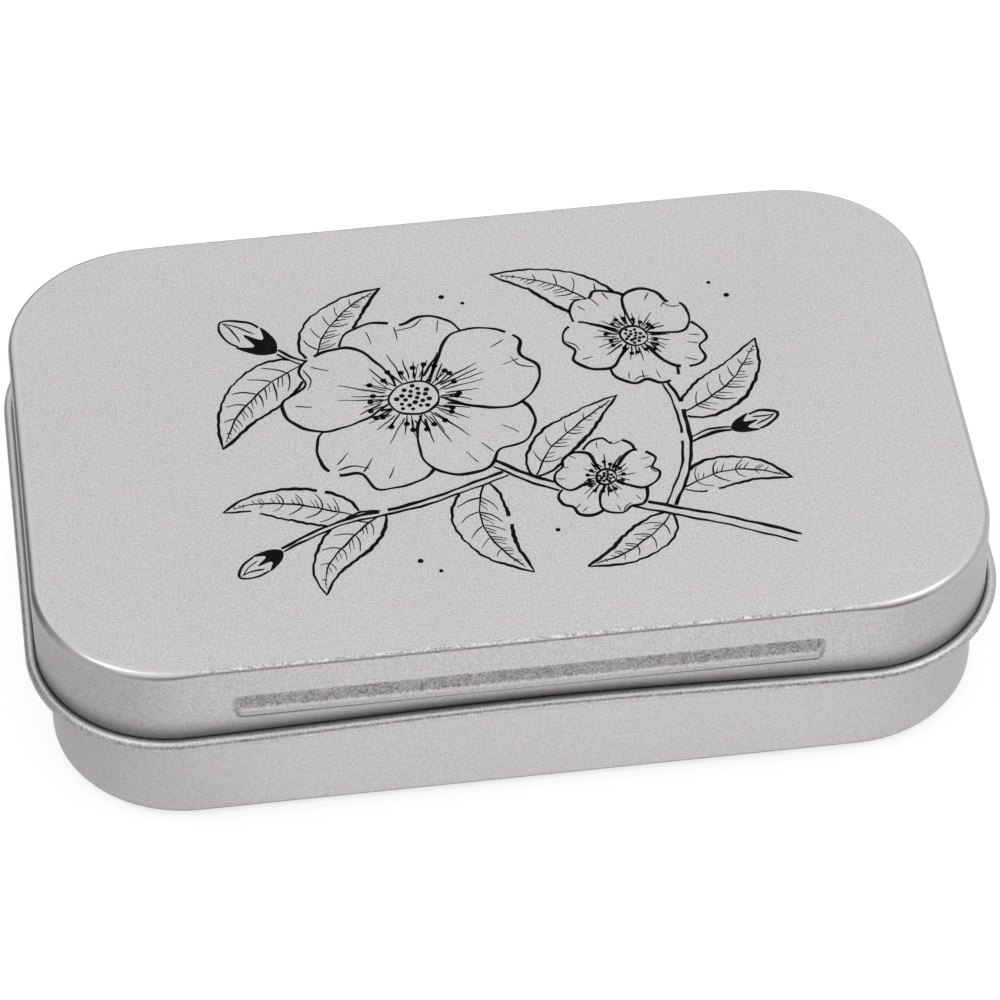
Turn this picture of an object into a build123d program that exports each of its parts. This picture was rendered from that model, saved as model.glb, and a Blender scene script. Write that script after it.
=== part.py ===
from build123d import *
import os
from math import acos, ceil, cos, degrees, radians, sin

os.makedirs("parts", exist_ok=True)

# Driving sizes in millimetres. X runs along the tin, the hinge is at the back (+Y), and the
# base stands on z = 0.
tin_length = 95.0  # over the lid's rolled edge, left to right
tin_depth = 63.4  # over the lid's rolled edge, front to back
tin_height = 20.7
corner_radius = 14.65  # of the rolled edge, seen from above
sheet = 0.25  # tinplate
flat_error = 0.016  # small bends carried round the corners are flats this close to their arcs

# Lid: a shallow pressing whose open edge is rolled outward into a tube.
lid_edge_radius = 0.6  # outside, where the top turns down into the skirt
curl_radius = 0.65  # outside of the rolled tube
curl_height = 11.5  # middle of the tube above the table
curl_wrap = 300  # degrees of tube, so its cut edge nearly meets the skirt

# Base: a deeper pressing that stands on a ring and ends in a rim rolled inward.
wall_gap = 0.75  # between the lid's skirt and the base's wall along the four sides
wall_radius = 13.35  # of the wall's corners, seen from above
base_edge_radius = 1.5
foot_width = 1.6  # flat ring the tin stands on
panel_rise = 0.4  # of the floor inside that ring
panel_bend = 45  # degrees of each of the two bends up to the floor
rim_radius = 0.5
rim_wrap = 270
seat_clearance = 0.05  # between the rim and the closed lid's top

# Hinge: two ears of the base, rolled round the lid's tube at the back.
ear_spacing = 48.0
ear_width = 9.0
ear_clearance = 0.06  # between ear and tube
ear_bend = 0.15
ear_wrap = 240
slit_width = 0.3  # beside each ear, where it is cut free of the wall
slit_depth = 0.5  # below the ear's bend
window_side_gap = 0.4
window_sill = 0.05  # above the tube's middle
window_height = 1.45
window_margin = 0.04  # the cut stops short of the tube's own edge

# Thumb ridge on the front of the lid: a soft slope above, a sharp ledge below.
ridge_length = 57.0
ridge_bottom = 14.7
ridge_top = 17.1
ridge_out = 0.52
ridge_slope = 1.2  # height of the upper slope
ridge_ledge = 0.2  # height of the lower ledge
ridge_end = 0.6  # length of the slope at each end
ridge_inset = 0.12  # of the hollow behind the ridge from its outline

# Snap bead on the front of the base, behind the hollow of the ridge.
snap_length = 50.0
snap_height = 1.1
snap_level = 15.6
snap_out = 0.38
snap_slope = 0.35

# Every section is measured outward from the upright axis its corner turns about.
corner_x = tin_length / 2 - corner_radius
corner_y = tin_depth / 2 - corner_radius
skirt_r = corner_radius - 2 * curl_radius  # inner face of the lid's skirt
skirt_y = corner_y + skirt_r
wall_y = skirt_y - wall_gap  # outer face of the base's wall
wall_corner_x = corner_x + skirt_r - wall_gap - wall_radius
wall_corner_y = wall_y - wall_radius
hinge_y = tin_depth / 2 - curl_radius
ear_bore = curl_radius + ear_clearance
lid_inner_radius = lid_edge_radius - sheet
under_top = tin_height - sheet
rim_height = under_top - seat_clearance - rim_radius
bend_radius = panel_rise / 2 / (1 - cos(radians(panel_bend)))
step_length = 2 * bend_radius * sin(radians(panel_bend))


def press_quarter(section, x, y):
    # Half a long side, a quarter turn about the axis at x, y and half a short side.
    back_plane = Plane(origin=(x, y, 0), x_dir=(0, 1, 0), z_dir=(1, 0, 0))
    side_plane = Plane(origin=(x, y, 0), x_dir=(1, 0, 0), z_dir=(0, -1, 0))
    extrude(back_plane * section, amount=-x)
    revolve(back_plane * section, axis=Axis((x, y, 0), (0, 0, 1)), revolution_arc=-90)
    extrude(side_plane * section, amount=y)


def front_plane(y):
    # An upright plane that faces the front, its own Y upward.
    return Plane(origin=(0, -y, 0), x_dir=(1, 0, 0), z_dir=(0, -1, 0))


def bent_sheet(start, heading, bends, flats=True):
    # Section of the sheet along straight runs and bends, each bend given as the run before it,
    # its radius and its turn to the left. The sheet's thickness lies on the left of the path.
    with BuildSketch() as section:
        with BuildLine():
            ends = []
            for depth in (0, sheet):
                direction = Vector(*heading)
                first = Vector(*start) + depth * direction.rotate(Axis.Z, 90)
                point = first
                for run, radius, turn in bends:
                    if run > 0:
                        point = Line(point, point + run * direction) @ 1
                    reach = radius - depth if turn > 0 else radius + depth
                    way = Mode.PRIVATE if flats else Mode.ADD
                    arc = JernArc(point, direction, reach, turn, mode=way)
                    if flats:
                        steps = ceil(abs(turn) / degrees(2 * acos(1 - flat_error / reach)))
                        Polyline(*[arc @ (step / steps) for step in range(steps + 1)])
                    point = arc @ 1
                    direction = arc % 1
                ends.append((first, point))
            Line(ends[0][0], ends[1][0])
            Line(ends[0][1], ends[1][1])
        make_face()
    return section.sketch


# The lid's sheet, followed along its inner face from the top to the rolled edge.
lid_section = bent_sheet(
    start=(0, under_top),
    heading=(1, 0),
    bends=[
        (skirt_r - lid_inner_radius, lid_inner_radius, -90),
        (under_top - lid_inner_radius - curl_height, curl_radius, curl_wrap),
    ],
)

# The base's sheet, followed along its outer face from the raised floor to the rolled rim.
floor_reach = wall_radius - base_edge_radius - foot_width - step_length
base_section = bent_sheet(
    start=(0, panel_rise),
    heading=(1, 0),
    bends=[
        (floor_reach, bend_radius, -panel_bend),
        (0, bend_radius, panel_bend),
        (foot_width, base_edge_radius, 90),
        (rim_height - base_edge_radius, rim_radius, rim_wrap),
    ],
)

# An ear, followed along the outer face of the base's wall and round the lid's tube.
bend_start = curl_height + ear_bore - ear_bend
notch_floor = bend_start - slit_depth
ear_section = bent_sheet(
    start=(wall_y, notch_floor - slit_depth),
    heading=(0, 1),
    bends=[
        (2 * slit_depth, ear_bend, -90),
        (hinge_y - wall_y - ear_bend, ear_bore, -ear_wrap),
    ],
    flats=False,
)

outer_y = skirt_y + sheet
with BuildPart() as lid:
    press_quarter(lid_section, corner_x, corner_y)
    with Locations((0, 0, under_top)):
        Box(corner_x, corner_y, sheet, align=(Align.MIN, Align.MIN, Align.MIN))
    mirror(about=Plane.YZ)
    mirror(about=Plane.XZ)
    # thumb ridge, pressed outward from the skirt
    ridge_middle = (ridge_top + ridge_bottom) / 2
    face_height = ridge_top - ridge_bottom - ridge_slope - ridge_ledge
    face_middle = ridge_bottom + ridge_ledge + face_height / 2
    with BuildSketch(front_plane(outer_y)):
        with Locations((0, ridge_middle)):
            SlotOverall(ridge_length, ridge_top - ridge_bottom)
    with BuildSketch(front_plane(outer_y + ridge_out)):
        with Locations((0, face_middle)):
            SlotOverall(ridge_length - 2 * ridge_end, face_height)
    loft(ruled=True)
    # hollow behind the ridge
    with BuildSketch(front_plane(skirt_y)):
        with Locations((0, ridge_middle)):
            SlotOverall(
                ridge_length - 2 * ridge_inset, ridge_top - ridge_bottom - 2 * ridge_inset
            )
    with BuildSketch(front_plane(skirt_y + ridge_out)):
        with Locations((0, face_middle)):
            SlotOverall(
                ridge_length - 2 * ridge_end - 2 * ridge_inset, face_height - 2 * ridge_inset
            )
    loft(ruled=True, mode=Mode.SUBTRACT)
    # windows over the tube, for the base's ears
    with BuildSketch(Plane.XZ.offset(-(skirt_y + sheet + window_margin))):
        window_middle = curl_height + window_sill + window_height / 2
        with Locations(*[(side * ear_spacing / 2, window_middle) for side in (-1, 1)]):
            Rectangle(ear_width + 2 * window_side_gap, window_height)
    extrude(amount=sheet + 2 * window_margin, mode=Mode.SUBTRACT)

with BuildPart() as base:
    press_quarter(base_section, wall_corner_x, wall_corner_y)
    with Locations((0, 0, panel_rise)):
        Box(wall_corner_x, wall_corner_y, sheet, align=(Align.MIN, Align.MIN, Align.MIN))
    mirror(about=Plane.YZ)
    mirror(about=Plane.XZ)
    # snap bead
    with BuildSketch(front_plane(wall_y)):
        with Locations((0, snap_level)):
            SlotOverall(snap_length, snap_height)
    with BuildSketch(front_plane(wall_y + snap_out)):
        with Locations((0, snap_level)):
            SlotOverall(snap_length - 2 * snap_slope, snap_height - 2 * snap_slope)
    loft(ruled=True)
    with BuildSketch(front_plane(wall_y - sheet)):
        with Locations((0, snap_level)):
            SlotOverall(snap_length - sheet, snap_height - sheet)
    with BuildSketch(front_plane(wall_y - sheet + snap_out)):
        with Locations((0, snap_level)):
            SlotOverall(snap_length - 2 * snap_slope - sheet, snap_height - 2 * snap_slope - sheet)
    loft(ruled=True, mode=Mode.SUBTRACT)
    # the wall is open above each ear, where the ear has been bent out of it
    with BuildSketch(Plane.XY.offset(notch_floor)):
        notch_depth = 2 * rim_radius + sheet
        with Locations(*[(side * ear_spacing / 2, wall_y - notch_depth / 2) for side in (-1, 1)]):
            Rectangle(ear_width + 2 * slit_width, notch_depth + sheet)
    extrude(amount=tin_height - notch_floor, mode=Mode.SUBTRACT)
    for side in (-1, 1):
        ear_plane = Plane.YZ.offset(side * ear_spacing / 2)
        extrude(ear_plane * ear_section, amount=ear_width / 2, both=True)

lid.part.label = "lid"
base.part.label = "base"
for piece in (lid, base):
    export_step(piece.part, f"parts/{piece.part.label}.step")
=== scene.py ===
import math
import random
from functools import partial

import bmesh
import bpy
import numpy as np
from mathutils import Matrix, Vector


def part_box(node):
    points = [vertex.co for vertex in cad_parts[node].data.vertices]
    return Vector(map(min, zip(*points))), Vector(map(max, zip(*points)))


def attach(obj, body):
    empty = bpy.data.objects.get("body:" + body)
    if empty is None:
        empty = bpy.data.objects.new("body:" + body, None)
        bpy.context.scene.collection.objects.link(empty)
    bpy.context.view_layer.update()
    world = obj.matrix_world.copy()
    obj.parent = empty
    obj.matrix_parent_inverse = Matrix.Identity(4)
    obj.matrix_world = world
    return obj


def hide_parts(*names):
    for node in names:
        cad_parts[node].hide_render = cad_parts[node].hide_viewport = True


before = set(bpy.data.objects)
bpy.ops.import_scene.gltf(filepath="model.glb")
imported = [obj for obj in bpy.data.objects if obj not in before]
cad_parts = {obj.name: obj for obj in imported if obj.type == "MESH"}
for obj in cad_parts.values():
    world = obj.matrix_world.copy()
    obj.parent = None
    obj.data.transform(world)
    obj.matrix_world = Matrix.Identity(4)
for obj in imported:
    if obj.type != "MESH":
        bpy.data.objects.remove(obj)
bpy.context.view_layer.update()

mm = 0.001
up = Vector((0, 0, 1))

# sizes that the lid and the base share, in mm
tin = {
    "length": 95.0,
    "depth": 63.4,
    "cornerRadius": 14.65,  # of the rolled edge, seen from above
    "cornerSteps": 28,
    "sideStep": 3.0,
    "sheet": 0.25,
    "sheetSlack": 0.005,  # the drawn sheet is thinner by this, and so stays inside the CAD's
    "curlRadius": 0.65,
    "curlHeight": 11.5,
    "earSpacing": 48.0,
    "near": 0.002,  # points this close to a level lie on it
    "sharpAngle": 38,  # degrees past which an edge isn't smooth
}
cornerX = tin["length"] / 2 - tin["cornerRadius"]
cornerY = tin["depth"] / 2 - tin["cornerRadius"]
curlMiddle = tin["cornerRadius"] - tin["curlRadius"]  # radii count from the corners' upright axes
skirtRadius = tin["cornerRadius"] - 2 * tin["curlRadius"] + tin["sheet"]
hingeY = cornerY + curlMiddle


# meshes and their points

def addObject(name, data):
    obj = bpy.data.objects.new(name, data)
    bpy.context.scene.collection.objects.link(obj)
    return obj


def newMesh(name, places, edges=(), faces=()):
    mesh = bpy.data.meshes.new(name)
    mesh.from_pydata(places, edges, faces)
    return mesh


def lineObject(name, chains, values, closed=False):
    # chains of points joined by edges, with named values at each point
    places, edges = [], []
    for chain in chains:
        first = len(places)
        places += [tuple(p) for p in chain]
        edges += [(first + k, first + k + 1) for k in range(len(chain) - 1)]
        if closed:
            edges.append((len(places) - 1, first))
    mesh = newMesh(name, places, edges)
    for key, rows in values.items():
        rows = np.array(rows, np.float32)
        isVector = rows.ndim == 2
        layer = mesh.attributes.new(key, "FLOAT_VECTOR" if isVector else "FLOAT", "POINT")
        layer.data.foreach_set("vector" if isVector else "value", rows.ravel())
    return addObject(name, mesh)


def readPoints(mesh):
    co = np.zeros(len(mesh.vertices) * 3)
    mesh.vertices.foreach_get("co", co)
    return co.reshape(-1, 3) / mm


def writePoints(mesh, co):
    mesh.vertices.foreach_set("co", (co * mm).ravel())
    mesh.update()


def readValues(mesh, key):
    values = np.zeros(len(mesh.vertices), np.float32)
    mesh.attributes[key].data.foreach_get("value", values)
    return values


def writeValues(mesh, key, values):
    if key not in mesh.attributes:
        mesh.attributes.new(key, "FLOAT", "POINT")
    mesh.attributes[key].data.foreach_set("value", values.astype(np.float32))


def dropWorkingValues(mesh):
    for key in ("place", "outward", "cut"):
        if key in mesh.attributes:
            mesh.attributes.remove(mesh.attributes[key])


def plainMesh(obj, name):
    # what the modifiers make of obj, as a mesh of its own
    graph = bpy.context.evaluated_depsgraph_get()
    shown = obj.evaluated_get(graph)
    mesh = bpy.data.meshes.new_from_object(shown, preserve_all_data_layers=True, depsgraph=graph)
    mesh.name = name
    bpy.data.objects.remove(obj)
    return addObject(name, mesh)


def growWith(obj, tree, inputs, name):
    grow = obj.modifiers.new("grow", "NODES")
    grow.node_group = tree
    for item in tree.interface.items_tree:
        if item.in_out == "INPUT" and item.name in inputs:
            grow[item.identifier] = inputs[item.name]
    return plainMesh(obj, name)


# node trees

def newTree(name, kinds):
    tree = bpy.data.node_groups.new(name, "GeometryNodeTree")
    for label, kind in kinds.items():
        tree.interface.new_socket(label, in_out="INPUT", socket_type="NodeSocket" + kind)
    tree.interface.new_socket("Geometry", in_out="OUTPUT", socket_type="NodeSocketGeometry")
    return tree, tree.nodes.new("NodeGroupInput").outputs


def addNode(tree, kind, settings=None, **links):
    # a node, its settings, and what feeds its sockets, by name or as slot0, slot1 in order:
    # a value or another node's output
    node = tree.nodes.new(kind)
    for key, value in (settings or {}).items():
        setattr(node, key, value)
    for key, value in links.items():
        socket = node.inputs[int(key[4:]) if key.startswith("slot") else key.replace("_", " ")]
        if isinstance(value, bpy.types.NodeSocket):
            tree.links.new(value, socket)
        else:
            socket.default_value = value
    return node


def named(tree, key, kind):
    node = addNode(tree, "GeometryNodeInputNamedAttribute", {"data_type": kind}, Name=key)
    return node.outputs["Attribute"]


def added(tree, first, second):
    node = addNode(tree, "ShaderNodeVectorMath", {"operation": "ADD"}, slot0=first, slot1=second)
    return node.outputs["Vector"]


def finished(tree, geometry, finish):
    # every tree ends in plain mesh with its finish on
    real = addNode(tree, "GeometryNodeRealizeInstances", Geometry=geometry)
    coated = addNode(tree, "GeometryNodeSetMaterial", Geometry=real.outputs["Geometry"], Material=finish)
    addNode(tree, "NodeGroupOutput", Geometry=coated.outputs["Geometry"])
    return tree


# a section swept along a line: both pressings and every pen stroke are made this way

def sweepTree():
    # "place" and "outward" belong to the line's points, "cut" to the section's (out, 0, up)
    kinds = {"Outline": "Geometry", "Section": "Object", "Close Ends": "Bool", "Finish": "Material"}
    tree, given = newTree("sweepSection", kinds)
    line = addNode(tree, "GeometryNodeMeshToCurve", Mesh=given["Outline"])
    shape = addNode(tree, "GeometryNodeObjectInfo", Object=given["Section"])
    section = addNode(tree, "GeometryNodeMeshToCurve", Mesh=shape.outputs["Geometry"])
    swept = addNode(
        tree,
        "GeometryNodeCurveToMesh",
        Curve=line.outputs["Curve"],
        Profile_Curve=section.outputs["Curve"],
        Fill_Caps=given["Close Ends"],
    )
    place, outward, cut = (named(tree, key, "FLOAT_VECTOR") for key in ("place", "outward", "cut"))
    split = addNode(tree, "ShaderNodeSeparateXYZ", Vector=cut)
    scale = {"operation": "SCALE"}
    out = addNode(tree, "ShaderNodeVectorMath", scale, slot0=outward, Scale=split.outputs["X"])
    rise = addNode(tree, "ShaderNodeCombineXYZ", Z=split.outputs["Z"])
    where = added(tree, added(tree, place, out.outputs["Vector"]), rise.outputs["Vector"])
    moved = addNode(tree, "GeometryNodeSetPosition", Geometry=swept.outputs["Mesh"], Position=where)
    return finished(tree, moved.outputs["Geometry"], given["Finish"])


def spread(stops):
    # numbers from (value, step after it) pairs, ending at the last value
    out = []
    for (low, step), (high, _) in zip(stops, stops[1:]):
        count = max(1, round(abs(high - low) / step))
        out += [low + (high - low) * k / count for k in range(count)]
    return out + [stops[-1][0]]


def mirrored(stops):
    values = spread(stops)
    return sorted({round(-v, 5) for v in values} | {round(v, 5) for v in values})


def tinOutline(frontXs, backXs, sideYs, axes):
    # stations round the tin, anticlockwise from the left end of the front, with the way outward
    axisX, axisY = axes
    stations = [(x, -axisY, 0, -1) for x in frontXs]
    steps = tin["cornerSteps"]

    def turn(cx, cy, start):
        for k in range(1, steps):
            a = math.radians(start + 90 * k / steps)
            stations.append((cx, cy, math.cos(a), math.sin(a)))

    turn(axisX, -axisY, -90)
    stations.extend((axisX, y, 1, 0) for y in sideYs)
    turn(axisX, axisY, 0)
    stations.extend((x, axisY, 0, 1) for x in reversed(backXs))
    turn(-axisX, axisY, 90)
    stations.extend((-axisX, y, -1, 0) for y in reversed(sideYs))
    turn(-axisX, -axisY, 180)
    reach = tin["cornerRadius"]
    line = [((x + ox * reach) * mm, (y + oy * reach) * mm, 0) for x, y, ox, oy in stations]
    values = {
        "place": [(x * mm, y * mm, 0) for x, y, ox, oy in stations],
        "outward": [(ox, oy, 0) for x, y, ox, oy in stations],
    }
    return lineObject("outline", [line], values, closed=True)


def sectionObject(rows):
    # rows are (radius, height, wear and painted light)
    line = [(r * mm, z * mm, 0) for r, z, wearAndLightMarks in rows]
    cut = [(r * mm, 0, z * mm) for r, z, wearAndLightMarks in rows]
    return lineObject("section", [line], {"cut": cut, "edgeWear": [wearAndLightMarks for r, z, wearAndLightMarks in rows]})


def sweepSheet(name, rows, frontStops, backStops, axes):
    # a section along the tin's sides and round its corners
    frontXs, backXs = (mirrored(stops + [(axes[0], 1)]) for stops in (frontStops, backStops))
    outline = tinOutline(frontXs, backXs, mirrored([(0, tin["sideStep"]), (axes[1], 1)]), axes)
    section = sectionObject(rows)
    inputs = {"Section": section, "Close Ends": False, "Finish": mattTinplate}
    sheet = growWith(outline, sweep, inputs, name)
    bpy.data.objects.remove(section)
    return sheet


def earHoles(half, ys, zs):
    # one at each ear, given by its low and its high corner
    middles = (-tin["earSpacing"] / 2, tin["earSpacing"] / 2)
    return [((x - half, ys[0], zs[0]), (x + half, ys[1], zs[1])) for x in middles]


def wearAndLightAt(amount, middle, width):
    # wear and painted light, strongest at one angle of a bend
    return lambda a: amount * math.exp(-(((a - middle) / width) ** 2))


def arcRows(middle, radius, start, end, steps, wearAndLightMarks=lambda a: 0.0, first=0):
    # rows along a bend, its angles in degrees from the outward way
    rows = []
    for k in range(first, steps + 1):
        a = start + (end - start) * k / steps
        out, rise = radius * math.cos(math.radians(a)), radius * math.sin(math.radians(a))
        rows.append((middle[0] + out, middle[1] + rise, wearAndLightMarks(a)))
    return rows


def slotDepth(x, z, length, height, middle):
    # how deep inside a round-ended slot the points lie, negative outside it
    along = np.maximum(np.abs(x) - (length - height) / 2, 0)
    return height / 2 - np.hypot(along, z - middle)


def softly(share):
    return share * share * (3 - 2 * share)


def cutHoles(bm, holes):
    gone = []
    for face in bm.faces:
        c = face.calc_center_median() / mm
        if any(all(low[i] < c[i] < high[i] for i in range(3)) for low, high in holes):
            gone.append(face)
    bmesh.ops.delete(bm, geom=gone, context="FACES")


def closePanel(bm, level, reach):
    # the flat panel inside the section's first row
    def onRing(v):
        return abs(v.co.z / mm - level) < tin["near"] and abs(v.co.y / mm) < reach

    ring = [e for e in bm.edges if e.is_boundary and all(onRing(v) for v in e.verts)]
    bmesh.ops.contextual_create(bm, geom=ring)


def turnOutward(bm, reach, low, high):
    # judged by one face of the plain back wall between two heights
    bmesh.ops.recalc_face_normals(bm, faces=bm.faces)
    for face in bm.faces:
        c = face.calc_center_median() / mm
        if abs(c.y - reach) < 0.01 and low < c.z < high:
            if face.normal.y < 0:
                bmesh.ops.reverse_faces(bm, faces=bm.faces)
            return


def finishSheet(obj, holes, panel, backWall, extrude=None):
    # cuts the holes, closes the flat panel, turns the faces outward and gives the sheet its thickness
    bm = bmesh.new()
    bm.from_mesh(obj.data)
    cutHoles(bm, holes)
    if extrude:
        extrude(bm)
    closePanel(bm, *panel)
    bmesh.ops.remove_doubles(bm, verts=bm.verts, dist=1e-7)
    turnOutward(bm, *backWall)
    for face in bm.faces:
        face.smooth = True
    bm.to_mesh(obj.data)
    bm.free()
    wall = obj.modifiers.new("wall", "SOLIDIFY")
    wall.thickness = (tin["sheet"] - tin["sheetSlack"]) * mm
    wall.offset = -1
    wall.use_even_offset = True
    wall.use_quality_normals = True
    done = plainMesh(obj, obj.name + "Sheet")
    done.data.set_sharp_from_angle(angle=math.radians(tin["sharpAngle"]))
    return done


# the drawing on the lid: a spray of wild roses in pen and ink, in mm seen from above

spray = {
    "seed": 11,
    "step": 0.28,  # between points along a stroke
    "wobble": 0.05,
    "lift": 0.35,  # half of the gap where the pen was lifted
    # pen lines: width, over how much each end thins, how often the pen is lifted
    "pens": {
        "petal": (0.324, 0.35, 0.35, 0.5),
        "lip": (0.17, 0.2, 0.6, 0),
        "fold": (0.17, 0.05, 0.9, 0),
        "outerFold": (0.255, 0.05, 0.9, 0),
        "crease": (0.17, 0.1, 0.7, 0),
        "filament": (0.153, 0, 0, 0),
        "heart": (0.255, 0.35, 0.35, 0),
        "bud": (0.30, 0.35, 0.35, 0),
        "budFold": (0.17, 0.1, 0.4, 0),
        "budShade": (0.221, 0.1, 0.4, 0),
        "stem": (0.255, 0.35, 0.35, 0.4),
        "stemShade": (0.36, 0.35, 0.35, 0.2),
        "leaf": (0.27, 0.35, 0.35, 0.3),
        "leafShade": (0.345, 0.35, 0.35, 0.3),
        "midrib": (0.1955, 0.1, 0.9, 0),
        "sideVein": (0.17, 0.1, 0.6, 0),
        "hatch": (0.153, 0.1, 0.7, 0),
    },
    "stemWidth": 0.8,  # between a stem's two lines
    "tooth": 1.15,  # of a leaf's edge, its length and its height
    "toothHeight": 0.16,
    # a petal's edge in shares of its length and half width; a notch draws its middle point in
    "petalEdge": (
        [(0.16, -0.20), (0.34, -0.62), (0.60, -1.00), (0.86, -0.86), (1.00, -0.42), (1.00, -0.02)]
        + [(1.03, 0.40), (0.88, 0.88), (0.60, 1.02), (0.34, 0.60), (0.16, 0.20)]
    ),
    "notchPoint": 5,
    "notch": 0.07,  # in shares of the blossom's radius
    "petals": (0, 2, 4, 1, 3),  # in the order they are drawn, the front ones first
    "budEdge": [(0, 0), (0.35, -0.27), (0.7, -0.24), (1, 0), (0.7, 0.24), (0.35, 0.27)],
    "calyx": (
        [(0.05, -0.22), (0.42, -0.30), (0.2, -0.1), (0.52, 0.0), (0.2, 0.1), (0.42, 0.30)]
        + [(0.05, 0.22)]
    ),
    "neck": (-0.14, 0.3),  # where the calyx meets its stem: share of the length, half width in mm
    # front to back: what is drawn first hides what comes later
    # middle, radius, turn, how flat and which way, lines in each petal
    "blossoms": [
        ((-7.0, 4.2), 12.6, 0.35, 0.93, 0.5, 8),
        ((15.8, 10.2), 7.6, 0.9, 0.84, 2.2, 6),
        ((10.2, -9.6), 5.4, 0.1, 0.9, 1.0, 4),
    ],
    # place, the way it points, length
    "buds": [((-20.6, 13.4), 2.35, 6.4), ((24.0, -4.4), 0.35, 4.4), ((-22.6, -15.8), 3.75, 4.6)],
    # share of the stem's width, course
    "stems": [
        (1.25, [(27.5, -20.5), (21.0, -17.2), (13.5, -14.0), (4.0, -9.5), (-4.0, -3.0)]),
        (1.0, [(15.6, -15.0), (18.4, -8.0), (18.6, 0.0), (16.6, 6.0)]),
        (0.7, [(19.0, -5.6), (21.3, -4.6), (23.6, -4.5)]),
        (0.8, [(-7.0, 6.0), (-13.0, 9.0), (-17.6, 11.0), (-20.3, 13.2)]),
        (0.8, [(1.0, -7.6), (-8.0, -10.8), (-16.0, -12.4), (-22.2, -15.4)]),
    ],
    # half width, veins, shaded side, midrib
    "leaves": [
        (2.5, 5, 1, [(-11.8, -11.4), (-15.6, -15.0), (-18.0, -18.6), (-18.4, -22.0)]),
        (2.5, 6, -1, [(-14.0, -11.8), (-19.0, -9.6), (-23.6, -8.6), (-27.2, -9.4)]),
        (2.9, 6, 1, [(-1.6, -8.6), (-2.6, -13.0), (-1.4, -17.6), (1.6, -21.6)]),
        (3.1, 6, 1, [(-17.2, 10.8), (-21.0, 8.2), (-24.4, 4.2), (-26.4, -0.6)]),
        (2.6, 6, -1, [(-16.2, 10.6), (-15.0, 14.4), (-12.4, 18.0), (-8.6, 20.9)]),
        (2.7, 6, -1, [(18.7, -1.6), (22.0, 0.2), (25.4, 3.6), (27.8, 8.2)]),
        (2.2, 5, 1, [(17.3, -12.2), (20.8, -10.6), (24.6, -10.5), (28.2, -12.2)]),
        (2.1, 5, -1, [(15.8, -15.4), (13.6, -18.0), (10.6, -20.2), (6.8, -21.6)]),
        (2.9, 6, 1, [(14.6, 12.0), (11.8, 16.4), (7.6, 19.6), (2.6, 21.3)]),
        (2.2, 5, -1, [(3.4, -8.6), (5.6, -4.6), (9.0, -1.4), (12.9, 1.9)]),
    ],
    # loose dots, with their radii
    "dots": (
        [(-2.6, 18.6, 0.3), (-0.6, 17.4, 0.22), (25.9, 14.9, 0.3), (24.4, 17.0, 0.22)]
        + [(-24.9, 18.0, 0.25), (-9.0, -18.6, 0.3), (-7.2, -20.2, 0.22), (4.6, -16.2, 0.25)]
    ),
}

pen = random.Random(spray["seed"])
strokes = []  # [(x, y, half width), ...]
blots = []  # closed solid shapes
dots = []  # (x, y, radius)
covers = []  # shapes already drawn in front, which hide what comes after


def turned(points, angle, at, squash=1.0, lean=0.0):
    # local (along, across) points, turned and set down at a place, then flattened across `lean`
    ca, sa = math.cos(angle), math.sin(angle)
    cl, sl = math.cos(lean), math.sin(lean)
    out = []
    for along, across in points:
        x, y = along * ca - across * sa, along * sa + across * ca
        if squash != 1.0:
            p, q = x * cl + y * sl, (-x * sl + y * cl) * squash
            x, y = p * cl - q * sl, p * sl + q * cl
        out.append((x + at[0], y + at[1]))
    return out


def wayAt(line, k):
    # the line's own way at its point k
    a, b = line[max(k - 1, 0)], line[min(k + 1, len(line) - 1)]
    dx, dy = b[0] - a[0], b[1] - a[1]
    long = math.hypot(dx, dy) or 1.0
    return dx / long, dy / long


def stepFrom(at, way, along, across):
    # so far along a way, and so far to its left
    return at[0] + way[0] * along - way[1] * across, at[1] + way[1] * along + way[0] * across


def beside(line, k, amount):
    return stepFrom(line[k], wayAt(line, k), 0, amount)


def curveAt(points, t):
    # Catmull-Rom between the second and the third of four points
    return tuple(
        0.5 * (2 * b + (c - a) * t + (2 * a - 5 * b + 4 * c - d) * t * t + (3 * b - a - 3 * c + d) * t**3)
        for a, b, c, d in zip(*points)
    )


def smoothLine(points, closed=False):
    # a curve through the points, in even steps
    n = len(points)
    if n < 3:
        a, b = points
        return evenSteps([tuple(a[i] + (b[i] - a[i]) * k / 40 for i in (0, 1)) for k in range(41)])
    dense = []
    for s in range(n if closed else n - 1):
        around = [s + k if not closed else (s + k) % n for k in (-1, 0, 1, 2)]
        four = [points[min(max(k, 0), n - 1)] for k in around]
        dense += [curveAt(four, k / 16) for k in range(16)]
    return evenSteps(dense + [points[0] if closed else points[-1]])


def evenSteps(dense):
    lengths = [0.0]
    for a, b in zip(dense, dense[1:]):
        lengths.append(lengths[-1] + math.dist(a, b))
    count = max(3, round(lengths[-1] / spray["step"]) + 1)
    out, seg = [], 0
    for k in range(count):
        want = lengths[-1] * k / (count - 1)
        while seg < len(dense) - 2 and lengths[seg + 1] < want:
            seg += 1
        t = (want - lengths[seg]) / (lengths[seg + 1] - lengths[seg] or 1.0)
        out.append(tuple(a + (b - a) * t for a, b in zip(dense[seg], dense[seg + 1])))
    return out


def inside(point, shape):
    x, y = point
    odd = False
    for (ax, ay), (bx, by) in zip(shape, shape[1:] + shape[:1]):
        if (ay > y) != (by > y) and x < ax + (y - ay) * (bx - ax) / (by - ay):
            odd = not odd
    return odd


def hidden(point):
    return any(inside(point, shape) for shape in covers)


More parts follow.
